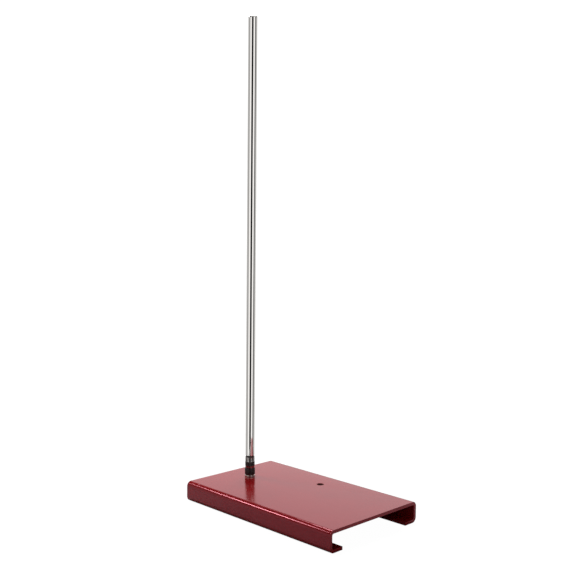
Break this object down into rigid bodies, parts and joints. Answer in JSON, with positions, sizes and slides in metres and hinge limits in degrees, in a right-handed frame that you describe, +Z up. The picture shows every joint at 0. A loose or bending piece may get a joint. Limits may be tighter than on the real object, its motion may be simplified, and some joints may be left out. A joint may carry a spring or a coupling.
{
  "type": "retort stand",
  "caption": "Laboratory retort stand: a folded sheet-steel base with a plated upright rod that screws into a tapped hole near one end.",
  "frame": {"origin": "under the middle of the base, on the surface that it stands on", "axes": "+Z up along the rod, X along the base's length with the rod towards -X, Y across the base with the spare hole towards +Y"},
  "size_m": [0.203, 0.1244, 0.5058],
  "materials": {
    "enamelled_steel": "red stoved enamel, satin with a fine texture",
    "plated_steel": "bright chrome plate",
    "zinc_plate": "bright zinc plate",
    "black_rubber": "smooth black rubber",
    "spring_steel": "dull hardened steel"
  },
  "bodies": {
    "base": {"base_plate": "enamelled_steel", "foot_ring": "zinc_plate"},
    "sleeve": {"grip_sleeve": "black_rubber"},
    "rod": {"rod": "plated_steel"},
    "washers": {"plain_washer": "zinc_plate", "spring_washer": "spring_steel"},
    "nut": {"hex_nut": "zinc_plate"}
  },
  "joints": [
    {"name": "rod_rise", "type": "slide", "parent": "base", "child": "sleeve", "axis": [0, 0, 1], "range_m": [0, 0.0175]},
    {"name": "rod_unscrew", "type": "hinge", "parent": "sleeve", "child": "rod", "pos_m": [-0.0725, 0, 0.0208], "axis": [0, 0, 1], "range_deg": [0, 5040]},
    {"name": "washers_drop", "type": "slide", "parent": "base", "child": "washers", "axis": [0, 0, -1], "range_m": [0, 0.00719]},
    {"name": "nut_unscrew", "type": "hinge", "parent": "washers", "child": "nut", "pos_m": [-0.0725, 0, 0.0208], "axis": [0, 0, -1], "range_deg": [0, 2070]}
  ],
  "couplings": [
    {"joint": "rod_unscrew", "follows": "rod_rise", "rad_per_m": 5026.5},
    {"joint": "nut_unscrew", "follows": "washers_drop", "rad_per_m": 5026.5}
  ]
}
